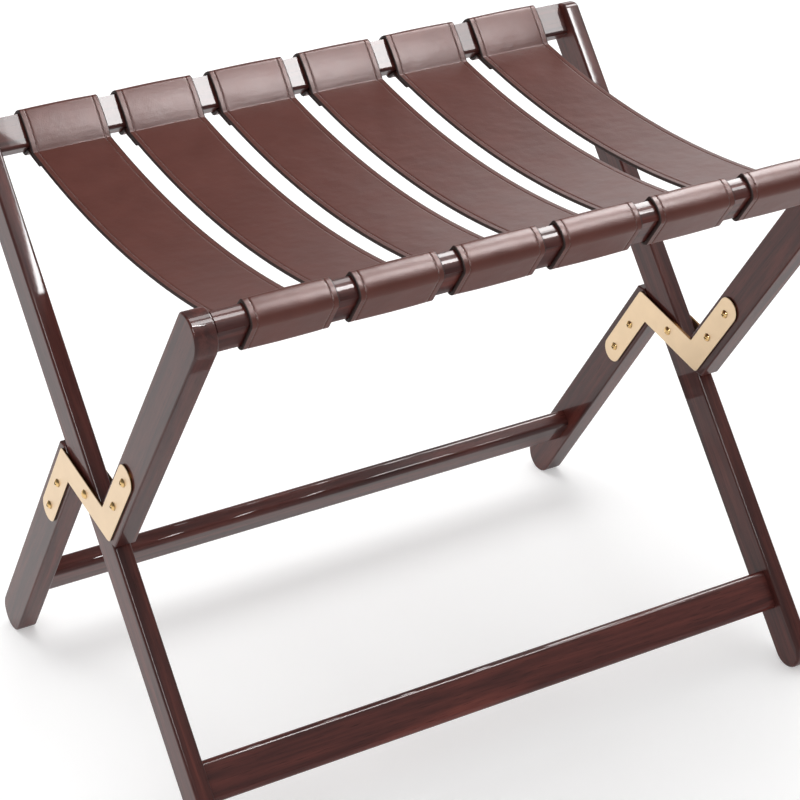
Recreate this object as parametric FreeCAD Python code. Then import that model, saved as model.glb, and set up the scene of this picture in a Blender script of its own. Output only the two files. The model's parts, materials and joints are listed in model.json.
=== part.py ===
"""Folding hotel luggage bench: two crossing wooden frames, six leather straps, four brass Z plates.

Millimetres. +X runs along the rails, -Y is the front, +Z is up. The origin is on the floor, at the
middle of the bench's box. A long leg runs straight from the back rail to a front foot. The opposite
leg is in two offset halves, above and below the long leg, joined across it by a brass plate on each
face. All three lie in one plane, so the bench folds flat about the two pivot pins.
"""
import FreeCAD
import Part
import math
import os
from FreeCAD import Vector

# Overall places, all measured from the pivot axis
overall_width = 626.0
pivot_height = 264.0
leg_rise = 265.0
long_leg_angle = 49.9
split_leg_angle = 55.5
split_leg_offset = 41.0

# Legs
leg_width = 36.0
long_leg_thickness = 16.0
split_leg_thickness = 19.5
leg_top_outer_corner = 20.0
leg_top_inner_corner = 7.0
leg_edge_radius = 2.5
leg_end_corner_radius = 1.5
foot_flat_depth = 1.0
stop_clearance = 0.3
leg_end_trim_height = 25.0

# Rails and stretchers, as boards set on the middle of the leg's width
board_thickness = 18.0
back_rail_width = 31.6
front_rail_width = 37.1
rail_edge_radius = 3.0
stretcher_width = 37.0
stretcher_edge_radius = 5.0
front_stretcher_middle = 264.0
back_stretcher_middle = 260.0

# Glued dowels, two at each end of each board
dowel_diameter = 8.0
dowel_in_leg = 11.0
dowel_in_board = 20.0
dowel_pitch = 18.0
dowel_clearance = 0.05
dowel_hole_end_clearance = 0.5

# Brass Z plates
plate_thickness = 2.0
plate_arm_width = 25.0
plate_arm_offset = 39.5
plate_arm_reach = 113.0
plate_bridge_width = 27.4
plate_bridge_slope = 11.0
plate_corner_radius = 6.5
plate_inner_radius = 1.5
plate_edge_chamfer = 0.4

# Plate screws, high raised countersunk heads with a cross recess
inner_screw_distance = 52.0
outer_screw_distance = 94.0
screw_head_diameter = 8.0
screw_head_rise = 2.8
screw_countersink_depth = 1.5
screw_shank_diameter = 3.6
screw_length = 8.5
screw_clearance = 0.05
recess_length = 4.2
recess_width = 0.9
recess_depth = 1.0

# Pivot
pin_diameter = 8.0
pin_head_diameter = 8.8
pin_head_rise = 2.8
pin_clearance = 0.05
washer_diameter = 16.0
washer_clearance = 0.3

# Straps
strap_count = 6
strap_width = 75.0
strap_end_distance = 45.5
leather_thickness = 3.0
strap_clearance = 0.3
strap_sag = 19.0
strap_low_point_setback = 8.0
strap_sink = 1.2
strap_tail = 20.0


def unit(degrees):
    """Unit vector in the YZ plane, the angle measured from +Y towards +Z."""
    angle = math.radians(degrees)
    return Vector(0, math.cos(angle), math.sin(angle))


# Directions: up along each leg, and square to it on the side that faces the bench's upper middle
up = Vector(0, 0, 1)
long_up = unit(long_leg_angle)
long_normal = unit(long_leg_angle + 90.0)
split_up = unit(180.0 - split_leg_angle)
split_normal = unit(90.0 - split_leg_angle)

half_leg = leg_width / 2.0
half_board = board_thickness / 2.0


def on_long(along, across):
    """A point from the pivot: along the long leg, and across it towards the front and up."""
    return long_up * along + long_normal * across


def on_split(along, across):
    """A point from the pivot: along the split leg, and across it towards the back and up."""
    return split_up * along + split_normal * across


def crossing(normal_a, distance_a, normal_b, distance_b):
    """The YZ point at distance_a along normal_a and at distance_b along normal_b."""
    determinant = normal_a.y * normal_b.z - normal_a.z * normal_b.y
    y = (distance_a * normal_b.z - normal_a.z * distance_b) / determinant
    z = (normal_a.y * distance_b - distance_a * normal_b.y) / determinant
    return Vector(0, y, z)


def crown_point(direction, normal, arc_centre, across):
    """The point of a leg's rounded top arc that lies at the given distance across the leg."""
    from_arc = across - arc_centre.dot(normal)
    rise = math.sqrt(leg_top_outer_radius ** 2 - from_arc ** 2)
    return direction * (arc_centre.dot(direction) + rise) + normal * across


# The two corners of a leg's level top, limited so that both fit on the cut across the leg
half_cut_angle = math.radians(long_leg_angle / 2.0)
top_cut = leg_width / math.sin(2.0 * half_cut_angle)
leg_top_outer_radius = min(leg_top_outer_corner, 0.92 * top_cut * math.tan(half_cut_angle))
top_cut_left = top_cut - leg_top_outer_radius / math.tan(half_cut_angle)
leg_top_inner_radius = min(leg_top_inner_corner, 0.95 * top_cut_left / math.tan(half_cut_angle))

# Where the legs' round ends are centred, from the pivot
foot_height = half_leg - foot_flat_depth - pivot_height
top_arc_height = leg_rise - leg_top_outer_radius
top_arc_across = leg_top_outer_radius - half_leg
long_foot = crossing(long_normal, 0.0, up, foot_height)
split_foot = crossing(split_normal, split_leg_offset, up, foot_height)
long_top_arc = crossing(long_normal, top_arc_across, up, top_arc_height)
split_top_arc = crossing(split_normal, top_arc_across - split_leg_offset, up, top_arc_height)

# The bench's box runs from the strap round the front rail's arris to the back feet
strap_reach = strap_clearance + leather_thickness
front_rail_arris = crown_point(split_up, split_normal, split_top_arc, -split_leg_offset - half_board)
front_reach = front_rail_arris.y - strap_reach
back_reach = split_foot.y + half_leg
pivot = Vector(0, -(front_reach + back_reach) / 2.0, pivot_height)

split_outer_x = overall_width / 2.0
split_inner_x = split_outer_x - split_leg_thickness
leg_play = (split_leg_thickness - long_leg_thickness) / 2.0
long_inner_x = split_outer_x - leg_play - long_leg_thickness
sides = (("left", -1.0), ("right", 1.0))

# Each board: its direction along its legs, the inner face of those legs and its middle
back_rail_top = long_top_arc.dot(long_up) + leg_top_outer_radius
front_rail_top = split_top_arc.dot(split_up) + leg_top_outer_radius
back_rail_bottom = back_rail_top - back_rail_width
front_rail_bottom = front_rail_top - front_rail_width
back_rail_middle = on_long(back_rail_top - back_rail_width / 2.0, 0.0)
front_rail_middle = on_split(front_rail_top - front_rail_width / 2.0, -split_leg_offset)
boards = {
    "back_rail": (long_up, long_inner_x, back_rail_middle),
    "front_stretcher": (long_up, long_inner_x, on_long(-front_stretcher_middle, 0.0)),
    "front_rail": (split_up, split_inner_x, front_rail_middle),
    "back_stretcher": (split_up, split_inner_x, on_split(-back_stretcher_middle, split_leg_offset)),
}

# The straps hang from the rails' lower inner corners
rail_corner_back = on_long(back_rail_bottom, half_board)
rail_corner_front = on_split(front_rail_bottom, -split_leg_offset + half_board)
strap_lowest = rail_corner_front.z + strap_reach - strap_sink - strap_sag
strap_pitch = (overall_width - 2.0 * strap_end_distance - strap_width) / (strap_count - 1)


def rounded_outline(corners):
    """A closed wire through (point, radius) corners, each corner rounded to its radius."""
    edges = []
    starts = []
    count = len(corners)
    for index in range(count):
        point, radius = corners[index]
        before = (corners[index - 1][0] - point).normalize()
        after = (corners[(index + 1) % count][0] - point).normalize()
        half_angle = before.getAngle(after) / 2.0
        if radius <= 0:
            starts.append((point, None, point))
            continue
        tangent = radius / math.tan(half_angle)
        bisector = (before + after).normalize()
        centre = point + bisector * (radius / math.sin(half_angle))
        starts.append((point + before * tangent, centre - bisector * radius, point + after * tangent))
    for index in range(count):
        entry, middle, leave = starts[index]
        if middle is not None:
            edges.append(Part.Arc(entry, middle, leave).toShape())
        next_entry = starts[(index + 1) % count][0]
        if (next_entry - leave).Length > 1e-6:
            edges.append(Part.LineSegment(leave, next_entry).toShape())
    return Part.Wire(edges)


def prism(wire, x_start, x_length):
    """The wire's face, drawn at the pivot in the YZ plane, pulled along X."""
    face = Part.Face(wire)
    face.translate(pivot + Vector(x_start, 0, 0))
    return face.extrude(Vector(x_length, 0, 0))


def ease_faces(solid, radius, x_values):
    """Rounds the edges of the flat faces that lie at the given X places."""
    edges = []
    for edge in solid.Edges:
        box = edge.BoundBox
        if box.XLength < 1e-6 and any(abs(box.XMin - x) < 1e-4 for x in x_values):
            edges.append(edge)
    return solid.makeFillet(radius, edges)


def cylinder_x(centre, x_start, length, diameter):
    """A cylinder along +X from x_start, about a YZ point given from the pivot."""
    base = pivot + Vector(x_start, centre.y, centre.z)
    return Part.makeCylinder(diameter / 2.0, length, base, Vector(1, 0, 0))


def spun(profile, centre, x_face, outward):
    """A (distance outward, radius) profile turned about an X line through centre."""
    points = [pivot + Vector(x_face + outward * out, centre.y, centre.z + radius) for out, radius in profile]
    face = Part.Face(Part.makePolygon(points + [points[0]]))
    return face.revolve(pivot + Vector(x_face, centre.y, centre.z), Vector(1, 0, 0), 360)


def write(name, shape):
    shape.exportStep("parts/" + name + ".step")


def dowel_centres(name):
    direction, inner_x, centre = boards[name]
    return [centre + direction * (dowel_pitch / 2.0 * sign) for sign in (-1.0, 1.0)]


def dowel_holes(name):
    """Cutters for a board's dowels, through the joint at both ends."""
    inner_x = boards[name][1]
    reach_in_leg = dowel_in_leg + dowel_hole_end_clearance
    reach_in_board = dowel_in_board + dowel_hole_end_clearance
    diameter = dowel_diameter + 2.0 * dowel_clearance
    cutters = []
    for centre in dowel_centres(name):
        cutters.append(cylinder_x(centre, -inner_x - reach_in_leg, reach_in_leg + reach_in_board, diameter))
        cutters.append(cylinder_x(centre, inner_x - reach_in_board, reach_in_leg + reach_in_board, diameter))
    return cutters


def make_dowels(name):
    inner_x = boards[name][1]
    length = dowel_in_leg + dowel_in_board
    dowels = []
    for centre in dowel_centres(name):
        dowels.append(cylinder_x(centre, -inner_x - dowel_in_leg, length, dowel_diameter))
        dowels.append(cylinder_x(centre, inner_x - dowel_in_board, length, dowel_diameter))
    write(name + "_dowels", Part.makeCompound(dowels))


def rail_wire(direction, normal, offset, arc_centre, bottom):
    """A board's section, with its upper end on the same arc as the rounded top of the legs."""
    inner_top = crown_point(direction, normal, arc_centre, offset + half_board)
    crown_middle = crown_point(direction, normal, arc_centre, offset)
    outer_top = crown_point(direction, normal, arc_centre, offset - half_board)
    inner_bottom = direction * bottom + normal * (offset + half_board)
    outer_bottom = direction * bottom + normal * (offset - half_board)
    rise = direction * rail_edge_radius
    step = normal * rail_edge_radius
    return Part.Wire([
        Part.Arc(inner_top, crown_middle, outer_top).toShape(),
        Part.LineSegment(outer_top, outer_bottom + rise).toShape(),
        corner_arc(outer_bottom, rise, step),
        Part.LineSegment(outer_bottom + step, inner_bottom - step).toShape(),
        corner_arc(inner_bottom, -step, rise),
        Part.LineSegment(inner_bottom + rise, inner_top).toShape(),
    ])


def corner_arc(corner, to_start, to_end):
    """The quarter arc that rounds a square corner, from one side to the other."""
    centre = corner + to_start + to_end
    middle = centre - (to_start + to_end).normalize() * to_start.Length
    return Part.Arc(corner + to_start, middle, corner + to_end).toShape()


def cut_all(solid, cutters):
    for cutter in cutters:
        solid = solid.cut(cutter)
    return solid


def make_rails():
    back_wire = rail_wire(long_up, long_normal, 0.0, long_top_arc, back_rail_bottom)
    front_wire = rail_wire(split_up, split_normal, -split_leg_offset, split_top_arc, front_rail_bottom)
    for name, wire in (("back_rail", back_wire), ("front_rail", front_wire)):
        inner_x = boards[name][1]
        rail = prism(wire, -inner_x, 2.0 * inner_x)
        write(name, cut_all(rail, dowel_holes(name)))
    return back_wire, front_wire


def make_stretchers():
    for name in ("front_stretcher", "back_stretcher"):
        direction, inner_x, centre = boards[name]
        across = Vector(0, -direction.z, direction.y)
        corners = []
        for along_sign, across_sign in ((1, 1), (1, -1), (-1, -1), (-1, 1)):
            along = direction * (along_sign * stretcher_width / 2.0)
            corners.append((centre + along + across * (across_sign * half_board), stretcher_edge_radius))
        stretcher = prism(rounded_outline(corners), -inner_x, 2.0 * inner_x)
        write(name, cut_all(stretcher, dowel_holes(name)))


def floor_trimmed(solid):
    """Cuts the foot flat at floor level."""
    size = 2.0 * overall_width
    below = Part.makeBox(size, size, size, Vector(-size / 2.0, -size / 2.0, -size))
    return solid.cut(below)


def leg_x(side, thickness):
    """The X span of a leg of the given thickness, on the middle plane of its side's legs."""
    middle = side * (split_outer_x - split_leg_thickness / 2.0)
    return middle - thickness / 2.0, middle + thickness / 2.0


def make_long_leg(label, side):
    foot_inner = long_foot + long_normal * half_leg - long_up * half_leg
    foot_outer = long_foot - long_normal * half_leg - long_up * half_leg
    top_inner = crossing(long_normal, half_leg, up, leg_rise)
    top_outer = crossing(long_normal, -half_leg, up, leg_rise)
    outline = rounded_outline([
        (foot_inner, half_leg),
        (foot_outer, half_leg),
        (top_outer, leg_top_outer_radius),
        (top_inner, leg_top_inner_radius),
    ])
    start, end = leg_x(side, long_leg_thickness)
    leg = ease_faces(prism(outline, start, end - start), leg_edge_radius, (start, end))
    cutters = [cylinder_x(Vector(), start, end - start, pin_diameter + 2.0 * pin_clearance)]
    cutters += dowel_holes("back_rail") + dowel_holes("front_stretcher")
    write("long_leg_" + label, floor_trimmed(cut_all(leg, cutters)))


def screw_centres():
    """Screw places from the pivot: two on the lower half's arm, two on the upper half's arm."""
    distances = (inner_screw_distance, outer_screw_distance)
    places = [on_split(-distance, plate_arm_offset) for distance in distances]
    return places + [on_split(distance, -plate_arm_offset) for distance in distances]


def screw_pilots(start, end):
    pilots = []
    for centre in screw_centres():
        hole = screw_shank_diameter + 2.0 * screw_clearance
        depth = screw_length - plate_thickness + dowel_hole_end_clearance
        pilots.append(cylinder_x(centre, start, depth, hole))
        pilots.append(cylinder_x(centre, end - depth, depth, hole))
    return pilots


def make_split_legs(label, side):
    start, end = leg_x(side, split_leg_thickness)
    stop = half_leg + stop_clearance
    inner = -split_leg_offset + half_leg
    outer = -split_leg_offset - half_leg
    upper = rounded_outline([
        (crossing(split_normal, inner, up, leg_rise), leg_top_inner_radius),
        (crossing(split_normal, outer, up, leg_rise), leg_top_outer_radius),
        (crossing(split_normal, outer, up, -leg_end_trim_height), leg_end_corner_radius),
        (crossing(long_normal, stop, up, -leg_end_trim_height), leg_end_corner_radius),
        (crossing(split_normal, inner, long_normal, stop), leg_end_corner_radius),
    ])
    foot_inner = split_foot - split_normal * half_leg - split_up * half_leg
    foot_outer = split_foot + split_normal * half_leg - split_up * half_leg
    lower = rounded_outline([
        (crossing(split_normal, -inner, long_normal, -stop), leg_end_corner_radius),
        (crossing(long_normal, -stop, up, leg_end_trim_height), leg_end_corner_radius),
        (crossing(split_normal, -outer, up, leg_end_trim_height), leg_end_corner_radius),
        (foot_outer, half_leg),
        (foot_inner, half_leg),
    ])
    parts = (("upper_leg_", upper, "front_rail"), ("lower_leg_", lower, "back_stretcher"))
    for prefix, outline, board in parts:
        leg = ease_faces(prism(outline, start, end - start), leg_end_corner_radius, (start, end))
        leg = cut_all(leg, screw_pilots(start, end) + dowel_holes(board))
        write(prefix + label, floor_trimmed(leg))


def plate_outline():
    """The Z: an arm down the lower half, a bridge across the long leg, an arm up the upper half."""
    bridge_normal = unit(90.0 + plate_bridge_slope)
    half_arm = plate_arm_width / 2.0
    half_bridge = plate_bridge_width / 2.0
    arm_outer = plate_arm_offset + half_arm
    arm_inner = plate_arm_offset - half_arm
    corners = []
    for sign in (1.0, -1.0):
        top_corner = crossing(split_normal, arm_outer, bridge_normal, half_bridge) * sign
        inner_corner = crossing(split_normal, arm_inner, bridge_normal, -half_bridge) * sign
        corners.append((top_corner, plate_corner_radius))
        corners.append((on_split(-plate_arm_reach, arm_outer) * sign, half_arm))
        corners.append((on_split(-plate_arm_reach, arm_inner) * sign, half_arm))
        corners.append((inner_corner, plate_inner_radius))
    return rounded_outline(corners)


def screw_head_profile(clearance):
    """From the plate's outer face inwards: the countersink's cone."""
    head = screw_head_diameter / 2.0 + clearance
    shank = screw_shank_diameter / 2.0 + clearance
    return [(0.0, 0.0), (0.0, head), (-screw_countersink_depth, shank), (-screw_countersink_depth, 0.0)]


def dome(centre, x_face, outward, diameter, rise):
    """A round head: the part of a ball that stands proud of a face."""
    ball_radius = (diameter ** 2 / 4.0 + rise ** 2) / (2.0 * rise)
    ball_x = x_face - outward * (ball_radius - rise)
    ball = Part.makeSphere(ball_radius, pivot + Vector(ball_x, centre.y, centre.z))
    x_start = x_face if outward > 0 else x_face - rise
    return ball.common(cylinder_x(centre, x_start, rise, diameter))


def make_screw(centre, x_face, outward):
    shank_start = x_face - screw_length if outward > 0 else x_face
    screw = cylinder_x(centre, shank_start, screw_length, screw_shank_diameter)
    screw = screw.fuse(spun(screw_head_profile(0.0), centre, x_face, outward))
    screw = screw.fuse(dome(centre, x_face, outward, screw_head_diameter, screw_head_rise))
    for length, width in ((recess_length, recess_width), (recess_width, recess_length)):
        slot = Part.makeBox(2.0 * recess_depth, length, width)
        slot_x = x_face + outward * screw_head_rise - recess_depth
        slot.translate(pivot + Vector(slot_x, centre.y - length / 2.0, centre.z - width / 2.0))
        screw = screw.cut(slot)
    return screw.removeSplitter()


def make_plates(label, side):
    """Both plates of one crossing, and the screws that hold each to the split leg's halves."""
    start, end = leg_x(side, split_leg_thickness)
    faces = (("outer", end, 1.0), ("inner", start, -1.0))
    if side < 0:
        faces = (("outer", start, -1.0), ("inner", end, 1.0))
    for face_label, x_leg, outward in faces:
        x_face = x_leg + outward * plate_thickness
        x_low = min(x_leg, x_face)
        plate = prism(plate_outline(), x_low, plate_thickness)
        rim = [edge for edge in plate.Edges
               if edge.BoundBox.XLength < 1e-6 and abs(edge.BoundBox.XMin - x_face) < 1e-4]
        plate = plate.makeChamfer(plate_edge_chamfer, rim)
        cutters = [cylinder_x(Vector(), x_low, plate_thickness, pin_diameter + 2.0 * pin_clearance)]
        for centre in screw_centres():
            through = screw_shank_diameter + 2.0 * screw_clearance
            cutters.append(cylinder_x(centre, x_low, plate_thickness, through))
            cutters.append(spun(screw_head_profile(screw_clearance), centre, x_face, outward))
        node = label + "_" + face_label
        write("z_plate_" + node, cut_all(plate, cutters))
        screws = [make_screw(centre, x_face, outward) for centre in screw_centres()]
        write("plate_screws_" + node, Part.makeCompound(screws))


def ring(x_start, length, outer_diameter, inner_diameter):
    return cylinder_x(Vector(), x_start, length, outer_diameter).cut(
        cylinder_x(Vector(), x_start, length, inner_diameter))


def make_pivot(label, side):
    start, end = leg_x(side, split_leg_thickness)
    x_low = start - plate_thickness
    x_high = end + plate_thickness
    pin = cylinder_x(Vector(), x_low, x_high - x_low, pin_diameter)
    pin = pin.fuse(dome(Vector(), x_high, 1.0, pin_head_diameter, pin_head_rise))
    pin = pin.fuse(dome(Vector(), x_low, -1.0, pin_head_diameter, pin_head_rise))
    write("pivot_pin_" + label, pin.removeSplitter())
    bore = pin_diameter + 2.0 * pin_clearance
    washer_thickness = leg_play - washer_clearance
    washers = [
        ring(start, washer_thickness, washer_diameter, bore),
        ring(end - washer_thickness, washer_thickness, washer_diameter, bore),
    ]
    write("pivot_washers_" + label, Part.makeCompound(washers))


def deck_height(y):
    """The height of the straps' upper face: a parabola through both rails, lowest near the middle."""
    half_span = -rail_corner_front.y - strap_low_point_setback
    return strap_lowest + strap_sag * ((y + strap_low_point_setback) / half_span) ** 2


def band_wire(y_start, y_end, drop_top, drop_bottom):
    """A strip of leather seen from its edge, between two drops below the straps' upper face."""
    steps = 16
    upper = []
    lower = []
    for index in range(steps + 1):
        y = y_start + (y_end - y_start) * index / steps
        upper.append(Vector(0, y, deck_height(y) - drop_top))
        lower.append(Vector(0, y, deck_height(y) - drop_bottom))
    top_curve = Part.BSplineCurve()
    top_curve.interpolate(upper)
    bottom_curve = Part.BSplineCurve()
    bottom_curve.interpolate(lower)
    return Part.Wire([
        top_curve.toShape(),
        Part.LineSegment(upper[-1], lower[-1]).toShape(),
        bottom_curve.toShape(),
        Part.LineSegment(lower[0], upper[0]).toShape(),
    ])


def make_straps(back_wire, front_wire):
    """Each strap is looped over both rails and sewn to itself under the span by its two tails."""
    first = -(strap_count - 1) / 2.0 * strap_pitch
    back_y = rail_corner_back.y + leather_thickness
    front_y = rail_corner_front.y - leather_thickness
    span = band_wire(front_y, back_y, 0.0, leather_thickness)
    tail_length = strap_tail + leather_thickness
    front_tail = band_wire(front_y, front_y + tail_length, leather_thickness, 2.0 * leather_thickness)
    back_tail = band_wire(back_y - tail_length, back_y, leather_thickness, 2.0 * leather_thickness)
    for number in range(strap_count):
        x_start = first + number * strap_pitch - strap_width / 2.0
        strap = prism(span, x_start, strap_width)
        strap = strap.fuse([prism(wire, x_start, strap_width) for wire in (front_tail, back_tail)])
        for wire in (back_wire, front_wire):
            hollow = prism(wire.makeOffset2D(strap_clearance), x_start, strap_width)
            loop = prism(wire.makeOffset2D(strap_reach), x_start, strap_width)
            strap = strap.fuse(loop).cut(hollow)
        write("strap_" + str(number + 1), strap.removeSplitter())


def main():
    os.makedirs("parts", exist_ok=True)
    back_wire, front_wire = make_rails()
    make_stretchers()
    for name in boards:
        make_dowels(name)
    for label, side in sides:
        make_long_leg(label, side)
        make_split_legs(label, side)
        make_plates(label, side)
        make_pivot(label, side)
    make_straps(back_wire, front_wire)


main()
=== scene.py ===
"""Looks of a folding hotel luggage bench: lacquered wood, stitched leather straps and brass plates.

Metres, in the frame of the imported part: +X along the rails, -Y to the front, +Z up from the floor.
"""

import json
import math

import bpy
import numpy as np
from bpy.props import FloatProperty, FloatVectorProperty, PointerProperty
from mathutils import Matrix, Vector


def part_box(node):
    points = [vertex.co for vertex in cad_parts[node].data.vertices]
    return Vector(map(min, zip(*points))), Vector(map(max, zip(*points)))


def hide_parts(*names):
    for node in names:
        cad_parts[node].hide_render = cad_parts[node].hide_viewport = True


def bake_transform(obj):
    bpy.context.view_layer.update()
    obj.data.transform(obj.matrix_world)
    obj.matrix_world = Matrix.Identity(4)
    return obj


bl_info = {
    "name": "Luggage bench",
    "version": (1, 0, 0),
    "blender": (4, 5, 0),
    "location": "3D View > Sidebar > Luggage bench",
    "description": "Dresses a folding luggage bench in lacquered wood, stitched leather and satin brass",
    "category": "Object",
}

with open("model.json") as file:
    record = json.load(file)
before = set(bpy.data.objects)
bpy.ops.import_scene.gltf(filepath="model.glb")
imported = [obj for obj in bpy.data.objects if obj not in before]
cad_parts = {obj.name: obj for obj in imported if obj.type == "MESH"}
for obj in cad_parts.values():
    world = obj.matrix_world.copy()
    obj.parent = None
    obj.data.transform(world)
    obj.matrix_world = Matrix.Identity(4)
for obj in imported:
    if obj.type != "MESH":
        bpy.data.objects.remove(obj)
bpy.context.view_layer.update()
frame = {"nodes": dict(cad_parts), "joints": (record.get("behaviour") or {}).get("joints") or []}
hinge = Vector(frame["joints"][0]["pos_m"])

# Sockets that share their name with another: the inputs and outputs of Mix nodes, the shaders of a Mix Shader node,
# and the inputs of Math nodes
SHARE, NUMBER_A, NUMBER_B, COLOUR_A, COLOUR_B = 0, 2, 3, 6, 7
NUMBER_OUT, COLOUR_OUT = 0, 2
SHADER_A, SHADER_B = 1, 2
FIRST, SECOND = 0, 1

# The middle line of a strap: the distance between its points, and the points that shape each stretch
PATH_STEP = 0.0012
TAIL_POINTS = 5
TURN_POINTS = 4
CROWN_POINTS = 10
BULGE_POINTS = 7
SPAN_POINTS = 41
# The line of points on which the span's end and the tail's turn are found: how far it runs below and above the
# rail's lower edge, and past its inner face
SEARCH_POINTS = 4001
SEARCH_BELOW, SEARCH_ABOVE, SEARCH_PAST = 0.03, 0.01, 0.004
# Room left at both ends of the crown for the bends to the rail's faces
CROWN_FROM_OUTER, CROWN_FROM_INNER = 0.0042, 0.0022
# Distance of the tail below the span, in thicknesses of the leather
TAIL_DROP = 1.02
# Radii of the bends, from the tail round the rail to the span
TAIL_BEND, LOWER_BEND, OUTER_BEND, INNER_BEND, SPAN_BEND = 0.0022, 0.0048, 0.0055, 0.0028, 0.0024
# A corner is straight enough to stay if half its inner angle is within this of a right angle, in radians
STRAIGHT = 1e-3

# Cross-section of a strap: its rounded edges, the crease and the points across it, the rise of the middle, the room
# beside the crease, and the numbers of points
EDGE_RADIUS = 0.0011
CREASE_HALF_WIDTH = 0.0009
CREASE_POINTS = np.array([-0.0009, -0.00055, -0.0002, 0.0002, 0.00055, 0.0009])
DOME = 0.0004
CREASE_TO_MIDDLE, CREASE_TO_RIM, RIM_STEP = 0.002, 0.0013, 0.0006
MIDDLE_POINTS, EDGE_POINTS = 9, 9

# Stitches: room left bare at the strap's ends, share of the crease's depth that the thread lies in, sideways slant
# as a share of the length, and half the height of a stitch as a share of the thread's thickness
STITCH_END = 0.004
STITCH_SINK, STITCH_SLANT, STITCH_FLATNESS = 0.75, 0.12, 0.42

# Material slots of a strap
LEATHER_SLOT, EDGE_SLOT, THREAD_SLOT = 0, 1, 2

# The studio floor, just under the feet: the distances from the bench between which its glow comes up, the share of
# glow that shows near the bench and in mirrors, and the glow's strength
FLOOR_HALF = 30.0
FLOOR_Z = -0.0002
GLOW_NEAR, GLOW_FAR = 0.9, 3.0
GLOW_LEAST, GLOW_MIRRORED = 0.27, 0.27
GLOW_STRENGTH = 1.3

# Lamps on the slanted plane in front of the bench: name, left, right, low, high, radiance, and lean in degrees
CARDS = (
    ("key_card", 0.41, 1.01, 0.0, 0.40, 41.0, 0.0),
    ("key_far_card", 1.01, 1.312, 0.0, 0.40, 21.0, 0.0),
    ("key_edge_card", 0.275, 0.41, 0.235, 0.40, 5.0, 0.0),
    ("strip_card", 0.259, 0.267, 0.0, 0.228, 75.0, 0.0),
    ("far_strip_card", 1.326, 1.333, 0.13, 0.275, 75.0, 8.5),
)

# The other lamps: name, place, target, size, radiance, and whether matt and glossy surfaces take its light
SOFTBOXES = (
    ("front_card", (-0.64, -1.2, 1.5), (-0.3, 0.0, 0.3), (0.55, 0.75), 16.0, False, True),
    ("crown_card", (0.42, -0.67, 2.2), (-0.3, -0.2, 0.5), (0.4, 0.36), 19.0, False, True),
    ("top_card", (0.9, 0.25, 2.2), (0.2, 0.0, 0.5), (0.5, 1.2), 11.0, False, True),
    ("side_card", (1.55, 0.3, 2.2), (0.6, 0.0, 0.5), (0.8, 1.4), 20.0, False, True),
    ("rim_softbox", (2.07, 2.15, 1.35), (0.0, 0.0, 0.45), (1.6, 1.0), 1.3, True, True),
    ("overhead_softbox", (0.0, 1.1, 3.3), (0.0, 0.0, 0.0), (3.2, 3.2), 2.25, True, False),
)

# Y and Z of the line that the slanted plane starts from, the plane's rise, and the way that its lamps face
CARD_LINE = (-0.917, 1.747)
CARD_RISE = (0.0, 0.81, 0.586)
CARD_FACING = (0.0, 0.586, -0.81)

# The camera's lens in millimetres, its shift, its axes and its place
LENS, SENSOR, SHIFT = 110.54, 36.0, 0.0104
CAMERA_RIGHT = (0.865828, -0.500336, -0.002330)
CAMERA_UP = (0.243265, 0.417236, 0.875579)
CAMERA_BACK = (-0.437112, -0.758668, 0.483069)
CAMERA_PLACE = (-0.97883, -1.69104, 1.33802)


def linear(hex_colour):
    """An sRGB hex colour as linear red, green and blue."""
    values = [int(hex_colour[i:i + 2], 16) / 255.0 for i in (0, 2, 4)]
    return tuple(v / 12.92 if v <= 0.04045 else ((v + 0.055) / 1.055) ** 2.4 for v in values)


def length(name, description, default):
    """A size in metres that the panel shows."""
    return FloatProperty(name=name, description=description, default=default, min=0.0, unit="LENGTH",
                         subtype="DISTANCE", precision=4)


def colour(name, description, hex_colour):
    """A colour that the panel shows."""
    return FloatVectorProperty(name=name, description=description, default=linear(hex_colour), min=0.0, max=1.0,
                               subtype="COLOR", size=3)


class BenchSizes(bpy.types.PropertyGroup):
    """Sizes of the two frames that the straps are fitted round."""
    leg_rise: length("Leg rise", "Height of the leg tops above the pivots", 0.265)
    board: length("Board thickness", "Thickness of a rail", 0.018)
    top_radius: length("Top radius", "Radius of the rounded top of a leg and rail", 0.02)
    leg_width: length("Leg width", "Width of a leg", 0.036)
    leg_offset: length("Split leg offset", "Distance of each half of a split leg from the pivot's line", 0.041)
    back_rail: length("Back rail width", "From the crown of the back rail to its lower edge", 0.0316)
    front_rail: length("Front rail width", "From the crown of the front rail to its lower edge", 0.0371)
    long_angle: FloatProperty(name="Long leg angle", description="Slope of the long legs from the floor",
                              default=math.radians(49.9), subtype="ANGLE")
    split_angle: FloatProperty(name="Split leg angle", description="Slope of the split legs from the floor",
                               default=math.radians(55.5), subtype="ANGLE")


class StrapSizes(bpy.types.PropertyGroup):
    """Sizes of one strap and of its sewing."""
    width: length("Width", "Width of a strap", 0.075)
    thickness: length("Thickness", "Thickness of the leather", 0.003)
    clearance: length("Clearance", "Gap between the leather and the rail", 0.0003)
    sag: length("Sag", "Drop of the strap between its ends and its low point", 0.019)
    low_point: length("Low point", "Distance of the low point in front of the pivots", 0.008)
    sink: length("Sink", "How far the strap's face lies below the rail's lower corner plus the leather", 0.0012)
    tail: length("Tail", "Length of each end that is sewn under the span", 0.0135)
    bulge: length("Bulge", "How far the leather stands off the middle of a rail's inner face", 0.0015)
    margin: length("Margin", "Distance of the sewing from the strap's edge", 0.0056)
    groove: length("Groove depth", "Depth of the crease that the sewing lies in", 0.0004)
    stitch_pitch: length("Stitch pitch", "Distance from one stitch to the next", 0.0036)
    stitch_length: length("Stitch length", "Length of the thread that shows", 0.0026)
    thread: length("Thread thickness", "Thickness of the sewing thread", 0.0006)


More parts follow.
